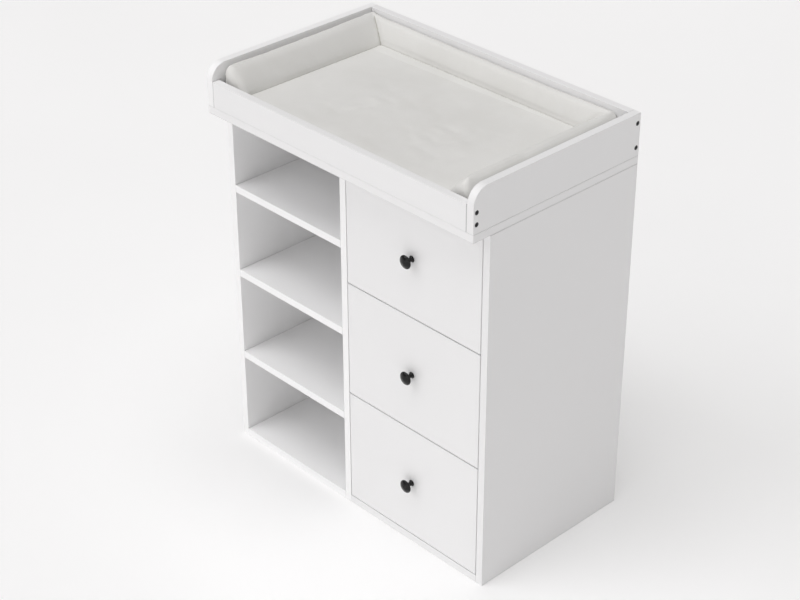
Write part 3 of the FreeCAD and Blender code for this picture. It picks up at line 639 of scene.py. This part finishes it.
def swell(ob, hold, pressure, cap, frames=20, grow=0.0):
    """Lets the cover settle over its filling: held at the seams and base, then the result becomes the mesh."""
    rest = np.array([v.co for v in ob.data.vertices])
    faces = [tuple(p.vertices) for p in ob.data.polygons if len(p.vertices) == 4]
    cm = bpy.data.meshes.new("cover_sim")
    cm.from_pydata(rest.tolist(), [], faces)
    co = bpy.data.objects.new("cover_sim", cm)
    scene.collection.objects.link(co)
    g = co.vertex_groups.new(name="held")
    for i, w in enumerate(hold):
        if w > 0.004:
            g.add([i], float(w), "REPLACE")
    mod = co.modifiers.new("Cover", "CLOTH")
    s = mod.settings
    s.quality = 4
    s.mass = 0.3
    s.bending_model = "LINEAR"
    s.tension_stiffness = s.compression_stiffness = 12
    s.shear_stiffness = 6
    s.bending_stiffness = 0.6
    s.tension_damping = s.compression_damping = s.shear_damping = 8
    s.bending_damping = 0.8
    s.air_damping = 4
    s.use_pressure = True
    s.uniform_pressure_force = pressure
    s.vertex_group_mass = "held"
    s.pin_stiffness = 1.2
    s.shrink_min = -grow
    s.effector_weights.gravity = 0
    mod.collision_settings.use_collision = False
    mod.collision_settings.use_self_collision = False
    mod.point_cache.frame_start, mod.point_cache.frame_end = 1, frames
    for f in range(1, frames + 1):
        scene.frame_set(f)
    dg = bpy.context.evaluated_depsgraph_get()
    ev = co.evaluated_get(dg)
    tmp = ev.to_mesh()
    now = np.array([v.co for v in tmp.vertices])
    ev.to_mesh_clear()
    bpy.data.objects.remove(co)
    bpy.data.meshes.remove(cm)
    scene.frame_set(1)
    move = now - rest
    move[~np.isfinite(move)] = 0
    size = np.linalg.norm(move, axis=1)
    print("pad settles by up to %.1f mm, mean %.2f mm" % (size.max() * 1000, size.mean() * 1000))
    limit = np.tanh(size / cap) * cap
    final = rest + move * (limit / np.maximum(size, 1e-9))[:, None] * (1 - hold)[:, None]
    ob.data.vertices.foreach_set("co", final.astype(np.float32).ravel())
    ob.data.update()


swell(pad, hold, 4.0, 0.0035, 20, 0.004)


def subdivided(ob, levels=1):
    m = ob.modifiers.new("Sub", "SUBSURF")
    m.levels = m.render_levels = levels
    m.subdivision_type = "CATMULL_CLARK"
    dg = bpy.context.evaluated_depsgraph_get()
    new = bpy.data.meshes.new_from_object(ob.evaluated_get(dg), depsgraph=dg)
    ob.modifiers.clear()
    old = ob.data
    ob.data = new
    new.name = old.name
    bpy.data.meshes.remove(old)


def close_underside(ob):
    """Fills the flat underside, level with the board the pad lies on."""
    bm = bmesh.new()
    bm.from_mesh(ob.data)
    edges = [e for e in bm.edges if e.is_boundary]
    made = bmesh.ops.triangle_fill(bm, edges=edges, use_beauty=True, normal=(0, 0, -1))
    bmesh.ops.recalc_face_normals(bm, faces=bm.faces)
    bm.to_mesh(ob.data)
    left_open = sum(1 for e in bm.edges if not e.is_manifold)
    bm.free()
    print("pad underside: %d faces, %d open edges" % (len(made["geom"]), left_open))


subdivided(pad, 1)
close_underside(pad)
for p in pad.data.polygons:
    p.use_smooth = True


def cover_material():
    """Wipe-clean coated knit: warm light grey, very fine leathery grain, uneven sheen."""
    t = Tree("Pad_Cover", 0.5, (0.72, 0.715, 0.695))
    c = t.co
    cloud = t.noise(6.5, 4, 0.6, c)
    drift = t.noise(21, 3, 0.55, c, 0.4)
    cell = t.voronoi(820, c)
    weave = t.noise(1500, 2, 0.5, c)
    rub = t.noise(3.2, 6, 0.66, c, 1.1)
    base = t.mix(t.ramp(cloud, 0.34, 0.68), (0.735, 0.731, 0.708), (0.775, 0.772, 0.752))
    base = t.mix(t.math("MULTIPLY", t.ramp(drift, 0.45, 0.75), 0.35), base, (0.755, 0.754, 0.74))
    base = t.mix(t.math("MULTIPLY", t.ramp(cell, 0.30, 0.55), 0.16), base, (0.64, 0.635, 0.61))
    # painted shade in the creases of the welded seam lines, over the weld's own darker tone; stronger on the left mitre
    # than on the right
    X, Y, Z = t.xyz(c)
    seam_shade_lines = []
    fl, fr, fb = FOOT_L * MM, FOOT_R * MM, FOOT_B * MM
    behind = t.ramp(Y, fb - 0.001, fb + 0.003, 1.0, 0.0)
    for fx in (fl, fr):
        near_ = t.ramp(t.math("ABSOLUTE", t.math("SUBTRACT", X, fx)), 0.0003, 0.0016, 0.55, 0.0)
        seam_shade_lines.append(t.math("MULTIPLY", near_, behind))
    mid = t.ramp(t.math("ABSOLUTE", t.math("SUBTRACT", X, (fl + fr) / 2)), (fr - fl) / 2 - 0.001, (fr - fl) / 2 + 0.002, 1.0, 0.0)
    near_ = t.ramp(t.math("ABSOLUTE", t.math("SUBTRACT", Y, fb)), 0.0003, 0.0018, 1.0, 0.0)
    seam_shade_lines.append(t.math("MULTIPLY", t.math("MULTIPLY", near_, mid), 0.36))
    for fx, sg, dark, end in ((fl, -1, 0.8, 0.046), (fr, 1, 0.3, 0.032)):
        ux, uy = sg * 2 / math.sqrt(5), 1 / math.sqrt(5)
        rx, ry = t.math("SUBTRACT", X, fx), t.math("SUBTRACT", Y, fb)
        off = t.math("ABSOLUTE", t.math("SUBTRACT", t.math("MULTIPLY", rx, uy), t.math("MULTIPLY", ry, ux)))
        run = t.math("ADD", t.math("MULTIPLY", rx, ux), t.math("MULTIPLY", ry, uy))
        on_ = t.math("MULTIPLY", t.ramp(run, -0.001, 0.001), t.ramp(run, end, end + 0.01, 1.0, 0.0))
        seam_shade_lines.append(t.math("MULTIPLY", t.math("MULTIPLY", t.ramp(off, 0.0003, 0.0019, 1.0, 0.0), on_), dark))
    seam_shade = seam_shade_lines[0]
    for l in seam_shade_lines[1:]:
        seam_shade = t.math("MAXIMUM", seam_shade, l)
    upward = t.ramp(Z, (PZ + 20) * MM, (PZ + 30) * MM)
    seam_shade = t.math("MULTIPLY", t.math("MULTIPLY", seam_shade, upward), t.ramp(t.noise(160, 3, 0.5, c), 0.2, 0.7, 0.6, 0.95))
    # painted crease shade along the seams, mixed into the cover colour
    base = t.mix(seam_shade, base, (0.30, 0.285, 0.24))
    t.link(base, t.p.inputs["Base Color"])
    t.link(t.math("ADD", t.ramp(rub, 0.4, 0.7, 0.44, 0.58), t.ramp(cell, 0.2, 0.5, -0.02, 0.03)),
           t.p.inputs["Roughness"])
    n1 = t.bump(cell, 0.22, 0.0003)
    n2 = t.bump(weave, 0.10, 0.00012, n1)
    n3 = t.bump(t.noise(48, 4, 0.55, c), 0.16, 0.0012, n2)
    t.link(n3, t.p.inputs["Normal"])
    t.set(Specular_IOR_Level=0.35, Sheen_Weight=0.12, Sheen_Roughness=0.5)
    return t.m


only(pad, cover_material())
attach(pad, "pad")
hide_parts("changing_pad")


# ------------------------------------------------------------------ floor, light, camera
def grid_plane(name, size, cuts):
    bm = bmesh.new()
    bmesh.ops.create_grid(bm, x_segments=cuts, y_segments=cuts, size=size)
    me = bpy.data.meshes.new(name)
    bm.to_mesh(me)
    bm.free()
    ob = bpy.data.objects.new(name, me)
    scene.collection.objects.link(ob)
    return ob


floor = grid_plane("studio_floor", 60.0, 8)
floor.location.z = -0.0003
ft = Tree("Studio_Floor", 0.7, (0.925, 0.925, 0.925))
fcl = ft.noise(0.8, 3, 0.5)
ft.link(ft.mix(ft.ramp(fcl, 0.3, 0.7), (0.92, 0.92, 0.92), (0.93, 0.93, 0.93)), ft.p.inputs["Base Color"])
ft.link(ft.ramp(fcl, 0.3, 0.7, 0.66, 0.76), ft.p.inputs["Roughness"])
ft.set(Specular_IOR_Level=0.1, Emission_Color=(1.0, 1.0, 1.0, 1.0), Emission_Strength=0.065)
only(floor, ft.m)
floor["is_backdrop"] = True

world = bpy.data.worlds.new("Studio")
world.use_nodes = True
wt = world.node_tree
sky = wt.nodes["Background"]
# even soft light from above, paler towards the horizon so that the floor runs into it
wc = wt.nodes.new("ShaderNodeTexCoord")
ws = wt.nodes.new("ShaderNodeSeparateXYZ")
wr = wt.nodes.new("ShaderNodeMapRange")
wr.interpolation_type = "SMOOTHSTEP"
wr.inputs["From Min"].default_value, wr.inputs["From Max"].default_value = 0.0, 0.14
wr.inputs["To Min"].default_value, wr.inputs["To Max"].default_value = 0.86, 0.23
wt.links.new(wc.outputs["Generated"], ws.inputs[0])
wt.links.new(ws.outputs[2], wr.inputs["Value"])
wt.links.new(wr.outputs["Result"], sky.inputs[1])
sky.inputs[0].default_value = (1.0, 0.965, 0.957, 1)
scene.world = world


def sun(name, towards, share, spread, colour=(1, 1, 1)):
    """A very soft light from far off; towards points at it, share is what it adds on a surface that faces it."""
    d = bpy.data.lights.new(name, "SUN")
    d.energy = share * math.pi
    d.angle = math.radians(spread)
    d.color = colour
    o = bpy.data.objects.new(name, d)
    o.rotation_mode = "QUATERNION"
    o.rotation_quaternion = Vector(towards).to_track_quat("Z", "Y")
    o.location = Vector(towards) * 4
    scene.collection.objects.link(o)
    return o


sun("key", (-0.42, -0.62, 0.66), 0.23, 42, (0.99, 0.985, 1.0))
sun("overhead", (0.06, -0.10, 1.0), 0.475, 50)
sun("front_fill", (0.28, -0.92, 0.20), 0.19, 60, (1.0, 0.985, 0.978))

cam_data = bpy.data.cameras.new("Camera")
cam_data.sensor_width = 36.0
cam_data.lens = 85.315
cam_data.clip_start, cam_data.clip_end = 0.05, 60
camera = bpy.data.objects.new("Camera", cam_data)
scene.collection.objects.link(camera)
az, el, roll = math.radians(46.345), math.radians(31.3821), math.radians(-0.1632)
back = Vector((math.sin(az) * math.cos(el), -math.cos(az) * math.cos(el), math.sin(el)))
right = (-back).cross(Vector((0, 0, 1))).normalized()
up = right.cross(-back)
r2 = right * math.cos(roll) + up * math.sin(roll)
u2 = up * math.cos(roll) - right * math.sin(roll)
m = Matrix((r2, u2, back)).transposed().to_4x4()
m.translation = Vector((2.5752, -2.5102, 2.6593))
camera.matrix_world = m
scene.camera = camera
scene.view_settings.view_transform = "Standard"
scene.view_settings.look = "None"

lo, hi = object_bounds()
